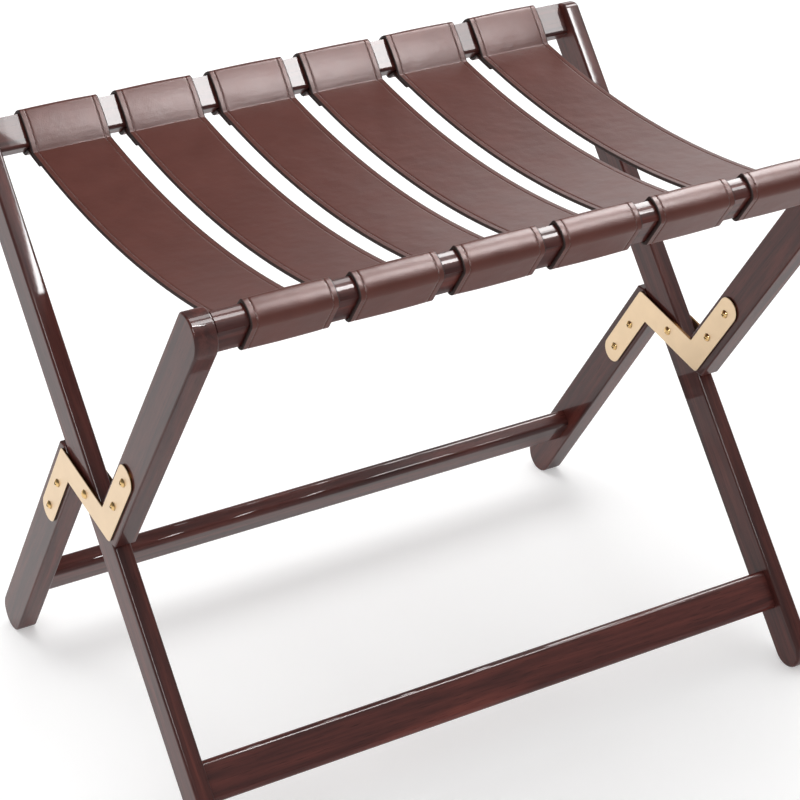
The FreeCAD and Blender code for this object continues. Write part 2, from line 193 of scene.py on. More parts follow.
class FinishColours(bpy.types.PropertyGroup):
    """Colours of the bench's finishes."""
    wood_dark: colour("Wood, dark", "Deep brown of the stained wood", "3a1b19")
    wood_red: colour("Wood, red", "Red brown where the stain lets the wood through", "623029")
    leather: colour("Leather", "Brown of the straps", "56281f")
    leather_edge: colour("Leather edge", "Paint on the cut edges of the straps", "241310")
    thread: colour("Thread", "Sewing thread", "5e3e36")
    brass: colour("Brass", "Pale satin brass of the plates", "e4caa8")
    screw_brass: colour("Screw brass", "Brass of the screws and pins", "e6c084")
    # Painted shade: the dark brown that brass sides not facing along X take, standing in for their shade and dark
    # reflections
    brass_edge_shade: colour("Brass edge", "Painted shade on brass sides not facing along X", "4a3014")
    dowel: colour("Dowel", "Bare beech of the dowels", "c49a6c")
    floor: colour("Floor", "Pale floor", "ffffff")


def node(tree, kind, settings=None, links=None):
    """Adds a node, sets its properties and unlinked sockets, and links its inputs."""
    made = tree.nodes.new(kind)
    for key, value in (settings or {}).items():
        if isinstance(key, str) and key in made.bl_rna.properties:
            setattr(made, key, value)
        else:
            made.inputs[key].default_value = value
    for key, source in (links or {}).items():
        tree.links.new(source, made.inputs[key])
    return made


def new_material(name):
    """An empty node material and its tree, with an output waiting for a shader."""
    material = bpy.data.materials.new(name)
    material.use_nodes = True
    tree = material.node_tree
    tree.nodes.clear()
    return material, tree


def rgba(values):
    """A colour with full opacity."""
    return (*values, 1.0)


def turned_coordinates(tree, rotation, scale):
    """Object coordinates, turned so that the pattern's long way lies on Y, and then scaled."""
    where = node(tree, "ShaderNodeTexCoord")
    turned = node(tree, "ShaderNodeMapping", {"Rotation": rotation}, {"Vector": where.outputs["Object"]})
    return node(tree, "ShaderNodeMapping", {"Scale": scale}, {"Vector": turned.outputs["Vector"]}).outputs["Vector"]


def lacquered_mahogany(name, rotation, painted_light_scale=1.0):
    """Mahogany stained espresso brown, then sprayed with gloss lacquer and polished.

    The stain leaves dark pores under 0.6 mm wide, streaks about 2.4 mm wide and redder bands about 12 mm wide, all
    drawn out along the board. The clear lacquer over it is smooth, so it mirrors the studio sharply and hides the
    pores' relief. A scale on the stain's colour makes lighter copies: the front stretcher's copy, 1.45 times lighter,
    is painted light, standing in for light that the lamps don't give it.
    """
    colours = bpy.context.scene.bench_colours
    dark = tuple(painted_light_scale * v for v in colours.wood_dark)
    red = tuple(painted_light_scale * v for v in colours.wood_red)
    material, tree = new_material(name)
    bands_at = turned_coordinates(tree, rotation, (1.0, 0.06, 1.0))
    pores_at = turned_coordinates(tree, rotation, (1.0, 0.035, 1.0))
    bands = node(tree, "ShaderNodeTexNoise", {"Scale": 85.0, "Detail": 3.0, "Roughness": 0.55, "Distortion": 0.6},
                 {"Vector": bands_at})
    streaks = node(tree, "ShaderNodeTexNoise", {"Scale": 420.0, "Detail": 2.0, "Roughness": 0.6},
                   {"Vector": pores_at})
    pores = node(tree, "ShaderNodeTexNoise", {"Scale": 1600.0, "Detail": 1.0}, {"Vector": pores_at})
    band_share = node(tree, "ShaderNodeMapRange", {"From Min": 0.35, "From Max": 0.72},
                      {"Value": bands.outputs["Fac"]})
    stain = node(tree, "ShaderNodeMix", {"data_type": "RGBA", COLOUR_A: rgba(dark), COLOUR_B: rgba(red)},
                 {SHARE: band_share.outputs["Result"]})
    streak_share = node(tree, "ShaderNodeMapRange", {"From Min": 0.4, "From Max": 0.7, "To Max": 0.45},
                        {"Value": streaks.outputs["Fac"]})
    streaked = node(tree, "ShaderNodeMix", {"data_type": "RGBA", COLOUR_B: rgba(dark)},
                    {SHARE: streak_share.outputs["Result"], COLOUR_A: stain.outputs[COLOUR_OUT]})
    pore_share = node(tree, "ShaderNodeMapRange", {"From Min": 0.62, "From Max": 0.75, "To Max": 0.7},
                      {"Value": pores.outputs["Fac"]})
    dark_pore = tuple(0.35 * v for v in dark)
    wood = node(tree, "ShaderNodeMix", {"data_type": "RGBA", COLOUR_B: rgba(dark_pore)},
                {SHARE: pore_share.outputs["Result"], COLOUR_A: streaked.outputs[COLOUR_OUT]})
    shader = node(tree, "ShaderNodeBsdfPrincipled",
                  {"Roughness": 0.42, "IOR": 1.5, "Specular IOR Level": 0.1, "Coat Weight": 0.4,
                   "Coat Roughness": 0.025, "Coat IOR": 1.5},
                  {"Base Color": wood.outputs[COLOUR_OUT]})
    node(tree, "ShaderNodeOutputMaterial", {}, {"Surface": shader.outputs["BSDF"]})
    return material


def drummed_leather():
    """Chrome-tanned cow leather, drum dyed chocolate brown, finished with a satin resin top coat.

    The grain is a fine pebble about 0.9 mm across with wrinkles about 2.4 mm apart, over slow waves about 26 mm
    long, and soft patches about 30 mm wide show where the dye took less. The top coat gives a broad satin sheen that
    turns grey-brown at a low angle.
    """
    colours = bpy.context.scene.bench_colours
    material, tree = new_material("drummed_leather_satin")
    where = node(tree, "ShaderNodeTexCoord").outputs["Object"]
    patches = node(tree, "ShaderNodeTexNoise", {"Scale": 32.0, "Detail": 4.0, "Roughness": 0.6}, {"Vector": where})
    pebble = node(tree, "ShaderNodeTexVoronoi", {"feature": "SMOOTH_F1", "Scale": 1100.0, "Smoothness": 0.6},
                  {"Vector": where})
    wrinkle = node(tree, "ShaderNodeTexNoise", {"Scale": 420.0, "Detail": 3.0}, {"Vector": where})
    darker = tuple(0.78 * v for v in colours.leather)
    lighter = tuple(min(1.0, 1.2 * v) for v in colours.leather)
    dyed = node(tree, "ShaderNodeMix", {"data_type": "RGBA", COLOUR_A: rgba(darker), COLOUR_B: rgba(lighter)},
                {SHARE: patches.outputs["Fac"]})
    height = node(tree, "ShaderNodeMix", {"data_type": "FLOAT", SHARE: 0.5},
                  {NUMBER_A: pebble.outputs["Distance"], NUMBER_B: wrinkle.outputs["Fac"]})
    waves = node(tree, "ShaderNodeTexNoise", {"Scale": 38.0, "Detail": 2.0}, {"Vector": where})
    swell = node(tree, "ShaderNodeBump", {"Strength": 0.5, "Distance": 0.0012}, {"Height": waves.outputs["Fac"]})
    bump = node(tree, "ShaderNodeBump", {"Strength": 0.35, "Distance": 0.0002},
                {"Height": height.outputs[NUMBER_OUT], "Normal": swell.outputs["Normal"]})
    rough = node(tree, "ShaderNodeMapRange", {"To Min": 0.29, "To Max": 0.4}, {"Value": patches.outputs["Fac"]})
    shader = node(tree, "ShaderNodeBsdfPrincipled", {"IOR": 1.5, "Specular IOR Level": 0.3},
                  {"Base Color": dyed.outputs[COLOUR_OUT], "Roughness": rough.outputs["Result"],
                   "Normal": bump.outputs["Normal"]})
    node(tree, "ShaderNodeOutputMaterial", {}, {"Surface": shader.outputs["BSDF"]})
    return material


def edge_paint():
    """Acrylic edge paint, brushed on the cut leather and sanded: dark, even, with a low gloss."""
    material, tree = new_material("acrylic_edge_paint")
    where = node(tree, "ShaderNodeTexCoord").outputs["Object"]
    fibres = node(tree, "ShaderNodeTexNoise", {"Scale": 900.0, "Detail": 2.0}, {"Vector": where})
    tint = bpy.context.scene.bench_colours.leather_edge
    lighter = tuple(1.6 * v for v in tint)
    shades = node(tree, "ShaderNodeMix", {"data_type": "RGBA", COLOUR_A: rgba(tint), COLOUR_B: rgba(lighter)},
                  {SHARE: fibres.outputs["Fac"]})
    bump = node(tree, "ShaderNodeBump", {"Strength": 0.3, "Distance": 0.0001}, {"Height": fibres.outputs["Fac"]})
    shader = node(tree, "ShaderNodeBsdfPrincipled", {"Roughness": 0.62, "IOR": 1.49, "Specular IOR Level": 0.25},
                  {"Base Color": shades.outputs[COLOUR_OUT], "Normal": bump.outputs["Normal"]})
    node(tree, "ShaderNodeOutputMaterial", {}, {"Surface": shader.outputs["BSDF"]})
    return material


def waxed_thread():
    """Twisted polyester thread, waxed: a slanted twist with a turn every 0.35 mm, and a dull sheen."""
    material, tree = new_material("waxed_polyester_thread")
    where = turned_coordinates(tree, (0.6, 0.0, 0.9), (1.0, 1.0, 1.0))
    # Painted shade: the twist's darker lines stand for the shade in the grooves between the plies
    twist = node(tree, "ShaderNodeTexWave", {"Scale": 900.0, "Distortion": 0.5}, {"Vector": where})
    tint = bpy.context.scene.bench_colours.thread
    darker = tuple(0.7 * v for v in tint)
    shades = node(tree, "ShaderNodeMix", {"data_type": "RGBA", COLOUR_A: rgba(darker), COLOUR_B: rgba(tint)},
                  {SHARE: twist.outputs["Fac"]})
    shader = node(tree, "ShaderNodeBsdfPrincipled", {"Roughness": 0.55, "IOR": 1.5},
                  {"Base Color": shades.outputs[COLOUR_OUT]})
    node(tree, "ShaderNodeOutputMaterial", {}, {"Surface": shader.outputs["BSDF"]})
    return material


def brass_finish(name, tint, roughness, scratch, edge):
    """Cartridge brass, cut from sheet or turned, finished with a fine abrasive and clear lacquered.

    Fine straight marks soften the mirror to a satin gold. They are drawn about 0.4 mm wide, coarser than real ones,
    so that they show. Sides that don't face along X are painted shade, a dark brown for the shade and dark reflections
    on the plates' sheared edges and round the screw heads' rims: it is gone where the X part of the normal reaches
    edge, and full where that is 0.2 less.
    """
    material, tree = new_material(name)
    marks_at = turned_coordinates(tree, (math.radians(-34.5), 0.0, 0.0), (1.0, 0.04, 1.0))
    marks = node(tree, "ShaderNodeTexNoise", {"Scale": 2600.0, "Detail": 2.0, "Roughness": 0.6}, {"Vector": marks_at})
    where = node(tree, "ShaderNodeTexCoord").outputs["Object"]
    tarnish = node(tree, "ShaderNodeTexNoise", {"Scale": 45.0, "Detail": 3.0}, {"Vector": where})
    deeper = tuple(0.86 * v for v in tint)
    clean = node(tree, "ShaderNodeMix", {"data_type": "RGBA", COLOUR_A: rgba(deeper), COLOUR_B: rgba(tint)},
                 {SHARE: tarnish.outputs["Fac"]})
    # Painted shade: sides whose normal turns away from X, the plates' sheared edges and the screw heads' rims, are
    # mixed towards the dark brass edge colour
    surface = node(tree, "ShaderNodeNewGeometry")
    facing = node(tree, "ShaderNodeSeparateXYZ", {}, {"Vector": surface.outputs["Normal"]})
    sideways = node(tree, "ShaderNodeMath", {"operation": "ABSOLUTE"}, {FIRST: facing.outputs["X"]})
    unshaded_share = node(tree, "ShaderNodeMapRange", {"From Min": edge - 0.2, "From Max": edge},
                    {"Value": sideways.outputs["Value"]})
    shades = node(tree, "ShaderNodeMix",
                  {"data_type": "RGBA", COLOUR_A: rgba(bpy.context.scene.bench_colours.brass_edge_shade)},
                  {SHARE: unshaded_share.outputs["Result"], COLOUR_B: clean.outputs[COLOUR_OUT]})
    rough = node(tree, "ShaderNodeMapRange", {"To Min": roughness * 0.8, "To Max": roughness * 1.25},
                 {"Value": marks.outputs["Fac"]})
    bump = node(tree, "ShaderNodeBump", {"Strength": scratch, "Distance": 0.00005}, {"Height": marks.outputs["Fac"]})
    shader = node(tree, "ShaderNodeBsdfPrincipled", {"Metallic": 1.0},
                  {"Base Color": shades.outputs[COLOUR_OUT], "Roughness": rough.outputs["Result"],
                   "Normal": bump.outputs["Normal"]})
    node(tree, "ShaderNodeOutputMaterial", {}, {"Surface": shader.outputs["BSDF"]})
    return material


def turned_beech():
    """Bare beech, turned to dowels: pale, with short darker rays about 3 mm long."""
    material, tree = new_material("turned_beech")
    tint = bpy.context.scene.bench_colours.dowel
    rays_at = turned_coordinates(tree, (0.0, 0.0, math.radians(90.0)), (1.0, 0.2, 1.0))
    rays = node(tree, "ShaderNodeTexNoise", {"Scale": 1500.0, "Detail": 2.0}, {"Vector": rays_at})
    darker = tuple(0.7 * v for v in tint)
    shades = node(tree, "ShaderNodeMix", {"data_type": "RGBA", COLOUR_A: rgba(darker), COLOUR_B: rgba(tint)},
                  {SHARE: rays.outputs["Fac"]})
    shader = node(tree, "ShaderNodeBsdfPrincipled", {"Roughness": 0.7}, {"Base Color": shades.outputs[COLOUR_OUT]})
    node(tree, "ShaderNodeOutputMaterial", {}, {"Surface": shader.outputs["BSDF"]})
    return material


def dress(names, material):
    """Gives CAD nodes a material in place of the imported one."""
    for name in names:
        slots = frame["nodes"][name].data.materials
        slots.clear()
        slots.append(material)


def direction(angle):
    """Unit YZ vector at an angle from +Y towards +Z."""
    return np.array([math.cos(angle), math.sin(angle)])


def rounded_path(corners, radii, step):
    """Points about one step apart along a line of corners, each corner replaced by an arc of its radius.

    The arc starts at radius / tan(half the inner angle) from its corner, on both sides, and its centre lies at
    radius / sin(half the inner angle) from the corner. A corner without a radius, or with hardly a turn, stays.
    """
    corners = [np.asarray(c, float) for c in corners]
    pieces = []
    here = corners[0]
    for before, corner, after, radius in zip(corners, corners[1:], corners[2:], radii[1:]):
        a = (before - corner) / np.linalg.norm(before - corner)
        b = (after - corner) / np.linalg.norm(after - corner)
        half = math.acos(np.clip(a @ b, -1.0, 1.0)) / 2.0
        if radius <= 0.0 or half > math.pi / 2.0 - STRAIGHT:
            count = max(2, int(np.linalg.norm(corner - here) / step))
            pieces.append(np.linspace(here, corner, count, endpoint=False))
            here = corner
            continue
        reach = radius / math.tan(half)
        start = corner + a * reach
        centre = corner + (a + b) / np.linalg.norm(a + b) * radius / math.sin(half)
        count = max(2, int(np.linalg.norm(start - here) / step))
        pieces.append(np.linspace(here, start, count, endpoint=False))
        first, last = start - centre, corner + b * reach - centre
        sweep = math.atan2(first[0] * last[1] - first[1] * last[0], first @ last)
        turns = np.linspace(0.0, sweep, max(4, int(abs(sweep) * radius / step) + 3), endpoint=False)
        cos, sin = np.cos(turns)[:, None], np.sin(turns)[:, None]
        pieces.append(centre + first * cos + np.array([-first[1], first[0]]) * sin)
        here = corner + b * reach
    count = max(2, int(np.linalg.norm(corners[-1] - here) / step))
    pieces.append(np.linspace(here, corners[-1], count))
    return np.concatenate(pieces)


def crown(along, across, centre_along, centre_across, radius, offsets):
    """Points on the arc over a rail's crown, at these distances across the leg from the pivots' line.

    Distance along the leg = that of the arc's centre + sqrt(radius^2 - (distance across - that of the centre)^2).
    """
    rise = centre_along + np.sqrt(np.maximum(radius ** 2 - (offsets - centre_across) ** 2, 0.0))
    return rise[:, None] * along + offsets[:, None] * across


def deck(y, straps, corner):
    """Height over the pivots of a strap's middle layer: a parabola in y, lowest in front of the pivots.

    The upper face rises by the sag from its low point to the front rail's lower inner corner, corner = (y, z), and
    passes that corner at clearance + thickness - sink above it. The middle layer lies half a thickness lower.
    """
    half = -corner[0] - straps.low_point
    lowest = corner[1] + straps.clearance + straps.thickness - straps.sink - straps.sag
    return lowest + straps.sag * ((y + straps.low_point) / half) ** 2 - straps.thickness / 2.0


def strap_path():
    """The YZ middle line of one strap, from its back tail, round both rails, to its front tail.

    Each end runs back under the span, turns round the rail's lower edge, outer face, crown and inner face, and then
    leaves the inner face into the span, which sags as a parabola. Between the crown and the span the leather stands
    off the inner face by 4 x bulge x share x (1 - share), where share goes from 0 to 1.
    """
    sizes = bpy.context.scene.bench_sizes
    straps = bpy.context.scene.bench_straps
    half_board, half_leg = sizes.board / 2.0, sizes.leg_width / 2.0
    gap = straps.clearance + straps.thickness / 2.0
    arc_height = sizes.leg_rise - sizes.top_radius
    # For each pair of legs: the way up a leg, the way across it to the inner side, how far its board lies from the
    # pivots' line, its rail's width, and the side of the pivots that the rail is on
    legs = (
        (direction(sizes.long_angle), direction(sizes.long_angle + math.pi / 2), 0.0, sizes.back_rail, 1.0),
        (direction(math.pi - sizes.split_angle), direction(math.pi / 2 - sizes.split_angle), -sizes.leg_offset,
         sizes.front_rail, -1.0),
    )
    rails = []
    for along, across, offset, width, side in legs:
        centre_across = sizes.top_radius - half_leg + offset
        centre_along = (arc_height - centre_across * across[1]) / along[1]
        bottom = centre_along + sizes.top_radius - width
        rails.append((along, across, offset, centre_along, centre_across, bottom, side))
    # The last leg is the split one, so this is the lower inner corner of the front rail
    corner = bottom * along + (offset + half_board) * across
    ends = []
    for along, across, offset, centre_along, centre_across, bottom, side in rails:
        inner = offset + half_board + gap
        outer = offset - half_board - gap
        spread = np.linspace(outer + CROWN_FROM_OUTER, inner - CROWN_FROM_INNER, CROWN_POINTS)
        spread = np.concatenate([[outer], spread, [inner]])
        over = crown(along, across, centre_along, centre_across, sizes.top_radius + gap, spread)
        low_outer = (bottom - gap) * along + outer * across
        rises = np.linspace(bottom - SEARCH_BELOW, bottom + SEARCH_ABOVE, SEARCH_POINTS)
        face = rises[:, None] * along + inner * across
        leave = face[np.argmin(np.abs(face[:, 1] - deck(face[:, 0], straps, corner)))]
        steps = np.linspace(outer, inner + SEARCH_PAST, SEARCH_POINTS)
        under = (bottom - gap) * along + steps[:, None] * across
        below = deck(under[:, 0], straps, corner) - straps.thickness * TAIL_DROP
        turn = under[np.argmin(np.abs(under[:, 1] - below))]
        tail_y = leave[0] - side * straps.tail * np.linspace(1.0, 0.0, TAIL_POINTS)
        tail_y = np.concatenate([tail_y[:-1], np.linspace(leave[0], turn[0], TURN_POINTS)[1:-1]])
        tail = np.stack([tail_y, deck(tail_y, straps, corner) - straps.thickness * TAIL_DROP], 1)
        share = np.linspace(0.0, 1.0, BULGE_POINTS + 2)[1:-1, None]
        puffed = over[-1] + share * (leave - over[-1]) + 4.0 * straps.bulge * share * (1.0 - share) * across
        corners = np.concatenate([tail, [turn, low_outer], over, puffed, [leave]])
        radii = ([0.0] * len(tail) + [TAIL_BEND, LOWER_BEND, OUTER_BEND] + [0.0] * CROWN_POINTS + [INNER_BEND]
                 + [0.0] * BULGE_POINTS)
        ends.append((corners, radii, leave))
    (back, back_radii, back_leave), (front, front_radii, front_leave) = ends
    span_y = np.linspace(back_leave[0], front_leave[0], SPAN_POINTS)
    span = np.stack([span_y, deck(span_y, straps, corner)], 1)
    corners = np.concatenate([back, span[1:-1], front[::-1]])
    radii = back_radii + [SPAN_BEND] + [0.0] * (SPAN_POINTS - 2) + [SPAN_BEND] + front_radii[::-1]
    return rounded_path(corners, radii, PATH_STEP), back_leave, front_leave


def strap_section(straps):
    """The strap's cross-section as (x, height) points, going round it: a flat band with rounded edges.

    Height = half the thickness + dome x (1 - (x / crease's place)^2) between the creases - groove x (0.5 + 0.5 x
    cos(pi x distance from the crease / its half width)) within the crease, mirrored for the lower face. The edges
    are quarter circles with a short flat between them.
    """
    half, thick = straps.width / 2.0, straps.thickness / 2.0
    margin = half - straps.margin
    groove = margin + CREASE_POINTS
    middle = np.linspace(-(margin - CREASE_TO_MIDDLE), margin - CREASE_TO_MIDDLE, MIDDLE_POINTS)
    rim = np.array([margin + CREASE_TO_RIM, half - EDGE_RADIUS - RIM_STEP, half - EDGE_RADIUS])
    x = np.concatenate([-rim[::-1], -groove[::-1], middle, groove, rim])
    near = np.abs(np.abs(x) - margin)
    crease = straps.groove * (0.5 + 0.5 * np.cos(np.pi * near / CREASE_HALF_WIDTH))
    dip = np.where(near < CREASE_HALF_WIDTH, crease, 0.0)
    dome = DOME * np.clip(1.0 - (x / margin) ** 2, 0.0, 1.0)
    top = np.stack([x, thick - dip + dome], 1)
    turns = np.linspace(np.pi / 2.0, -np.pi / 2.0, EDGE_POINTS)[1:-1]
    flat = thick - EDGE_RADIUS
    round_x = half - EDGE_RADIUS + EDGE_RADIUS * np.cos(turns)
    round_z = EDGE_RADIUS * np.sin(turns) + np.where(turns > 0, flat, -flat)
    right = np.stack([round_x, round_z], 1)
    bottom = top[::-1] * np.array([1.0, -1.0])
    left = right[::-1] * np.array([-1.0, 1.0])
    return np.concatenate([top, right, bottom, left]), len(top), len(right)


def swept_grid(path, section):
    """Vertices and quads of a section carried along a YZ path, with its x along X and its height along the normal.

    Vertex (i, j) = path point i + x of section point j along X + height of j along the path's normal there. The
    normal is the tangent (y, z) turned to (z, -y), which points up on the span and away from the rails on the loops.
    """
    tangent = np.gradient(path, axis=0)
    tangent /= np.linalg.norm(tangent, axis=1)[:, None]
    normal = np.stack([tangent[:, 1], -tangent[:, 0]], 1)
    rows, columns = len(path), len(section)
    vertices = np.zeros((rows, columns, 3))
    vertices[:, :, 0] = section[None, :, 0]
    vertices[:, :, 1:] = path[:, None, :] + section[None, :, 1, None] * normal[:, None, :]
    i, j = np.meshgrid(np.arange(rows - 1), np.arange(columns), indexing="ij")
    k = (j + 1) % columns
    quads = np.stack([i * columns + j, (i + 1) * columns + j, (i + 1) * columns + k, i * columns + k], -1)
    return vertices.reshape(-1, 3), quads.reshape(-1, 4), tangent, normal


def stitch_shape():
    """One stitch as a closed spindle from -1 to 1 in all three directions: six rings of six points, blunt ends.

    Point (i, n) = (place of ring i, its radius x cos(n x 60 degrees), its radius x sin(n x 60 degrees)).
    """
    place = np.array([-1.0, -0.8, -0.35, 0.35, 0.8, 1.0])
    radius = np.array([0.25, 0.75, 1.0, 1.0, 0.75, 0.25])
    sides = 6
    rings = len(place)
    turn = np.arange(sides) * 2.0 * np.pi / sides
    points = np.broadcast_arrays(place[:, None], radius[:, None] * np.cos(turn), radius[:, None] * np.sin(turn))
    i, j = np.meshgrid(np.arange(rings - 1), np.arange(sides), indexing="ij")
    k = (j + 1) % sides
    quads = np.stack([i * sides + j, i * sides + k, (i + 1) * sides + k, (i + 1) * sides + j], -1).reshape(-1, 4)
    first_cap = list(range(sides - 1, -1, -1))
    last_cap = list(range((rings - 1) * sides, rings * sides))
    return np.stack(points, -1).reshape(-1, 3), quads, [first_cap, last_cap]


def stitch_rows(path, tangent, normal, straps):
    """Spindles laid end to end in the creases of both faces, one every stitch pitch of the path's length.

    Vertex = path point + half a stitch's length x place along the tangent + (height of the crease + thread x
    flatness x point's height) along the normal. In X it is the crease's place + slant + half the thread x width.
    """
    travelled = np.concatenate([[0.0], np.cumsum(np.linalg.norm(np.diff(path, axis=0), axis=1))])
    places = np.arange(STITCH_END, travelled[-1] - STITCH_END, straps.stitch_pitch)
    at, forward, upward = (np.stack([np.interp(places, travelled, line[:, n]) for n in (0, 1)], 1)
                           for line in (path, tangent, normal))
    shape, quads, caps = stitch_shape()
    half, lift = straps.stitch_length / 2.0, straps.thickness / 2.0 - straps.groove * STITCH_SINK
    blocks = []
    for x in (straps.margin - straps.width / 2.0, straps.width / 2.0 - straps.margin):
        for face in (1.0, -1.0):
            block = np.zeros((len(places), len(shape), 3))
            slant = STITCH_SLANT * half * shape[:, 0]
            block[:, :, 0] = x + slant + shape[None, :, 1] * straps.thread / 2.0
            rise = face * lift + shape[:, 2] * straps.thread * STITCH_FLATNESS
            block[:, :, 1:] = (at[:, None, :] + (half * shape[None, :, 0, None]) * forward[:, None, :]
                               + rise[None, :, None] * upward[:, None, :])
            blocks.append(block.reshape(-1, 3))
    vertices = np.concatenate(blocks)
    starts = (np.arange(len(places) * len(blocks)) * len(shape))[:, None, None]
    faces = (starts + quads[None]).reshape(-1, 4).tolist()
    for cap in caps:
        faces += (starts[:, :, 0] + np.array(cap)[None]).tolist()
    return vertices, faces


def mesh_object(name, vertices, faces, materials, indices):
    """A smooth-shaded mesh object at the origin, with a material index for each face."""
    mesh = bpy.data.meshes.new(name)
    mesh.from_pydata(vertices.tolist(), [], faces)
    for material in materials:
        mesh.materials.append(material)
    mesh.polygons.foreach_set("material_index", np.asarray(indices, np.int32))
    mesh.polygons.foreach_set("use_smooth", np.ones(len(faces), bool))
    mesh.validate()
    mesh.update()
    made = bpy.data.objects.new(name, mesh)
    bpy.context.scene.collection.objects.link(made)
    return made


class BENCH_OT_wood(bpy.types.Operator):
    """Lacquers the legs, rails and stretchers, with the grain along each board"""
    bl_idname = "bench.wood"
    bl_label = "Lacquered wood"

    def execute(self, context):
        sizes = context.scene.bench_sizes
        split = math.pi - sizes.split_angle
        names = sorted(frame["nodes"])
        dress([n for n in names if n.startswith("long_leg")],
              lacquered_mahogany("gloss_lacquered_mahogany_long_legs", (-sizes.long_angle, 0.0, 0.0)))
        dress([n for n in names if n.startswith(("upper_leg", "lower_leg"))],
              lacquered_mahogany("gloss_lacquered_mahogany_split_legs", (-split, 0.0, 0.0)))
        along_x = (0.0, 0.0, math.radians(90.0))
        dress(["back_rail", "front_rail", "back_stretcher"],
              lacquered_mahogany("gloss_lacquered_mahogany_rails", along_x))
        # Painted light: the front stretcher gets a copy of the rails' wood 1.45 times lighter, for light that the
        # lamps don't give it
        dress(["front_stretcher"],
              lacquered_mahogany("gloss_lacquered_mahogany_front_stretcher_painted_light", along_x, painted_light_scale=1.45))
        dress([n for n in names if n.endswith("_dowels")], turned_beech())
        return {"FINISHED"}


class BENCH_OT_brass(bpy.types.Operator):
    """Finishes the plates, screws, pins and washers in brass"""
    bl_idname = "bench.brass"
    bl_label = "Brass fittings"

    def execute(self, context):
        colours = context.scene.bench_colours
        names = sorted(frame["nodes"])
        dress([n for n in names if n.startswith("z_plate")],
              brass_finish("satin_brass_sheet", colours.brass, roughness=0.34, scratch=0.25, edge=0.6))
        dress([n for n in names if n.startswith(("plate_screws", "pivot_"))],
              brass_finish("turned_brass", colours.screw_brass, roughness=0.14, scratch=0.05, edge=0.55))
        return {"FINISHED"}


class BENCH_OT_straps(bpy.types.Operator):
    """Makes the stitched leather straps, which sag between the two frames"""
    bl_idname = "bench.straps"
    bl_label = "Leather straps"

    def execute(self, context):
        straps = context.scene.bench_straps
        path, back_leave, front_leave = strap_path()
        section, top_count, side_count = strap_section(straps)
        vertices, quads, tangent, normal = swept_grid(path, section)
        columns, rows = len(section), len(path)
        across = np.tile(np.arange(columns), rows - 1)
        left_edge = 2 * top_count + side_count - 1
        painted = ((across >= top_count - 1) & (across < top_count + side_count)) | (across >= left_edge)
        ends = [list(range(columns)), list(range(rows * columns - 1, (rows - 1) * columns - 1, -1))]
        sewn, sewn_faces = stitch_rows(path, tangent, normal, straps)
        count = len(vertices)
        faces = quads.tolist() + ends + [[v + count for v in face] for face in sewn_faces]
        indices = np.concatenate([np.where(painted, EDGE_SLOT, LEATHER_SLOT), np.full(len(ends), EDGE_SLOT),
                                  np.full(len(sewn_faces), THREAD_SLOT)])
        shape = np.concatenate([vertices, sewn])
        shape[:, 1:] += np.array([hinge.y, hinge.z])
        materials = [drummed_leather(), edge_paint(), waxed_thread()]
        for name in sorted(n for n in frame["nodes"] if n.startswith("strap_")):
            low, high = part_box(name)
            placed = shape + np.array([(low.x + high.x) / 2.0, 0.0, 0.0])
            strap = mesh_object("leather_" + name, placed, faces, materials, indices)
            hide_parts(name)
            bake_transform(strap)
        return {"FINISHED"}


def softbox(name, place, target, size, radiance):
    """A rectangular white lamp that faces its target. Its power is pi x area x radiance."""
    lamp = bpy.data.lights.new(name, "AREA")
    lamp.shape = "RECTANGLE"
    lamp.size, lamp.size_y = size
    lamp.energy = math.pi * size[0] * size[1] * radiance
    made = bpy.data.objects.new(name, lamp)
    made.location = place
    made.visible_camera = False
    made.rotation_euler = (Vector(target) - Vector(place)).to_track_quat("-Z", "Y").to_euler()
    bpy.context.scene.collection.objects.link(made)
    return made


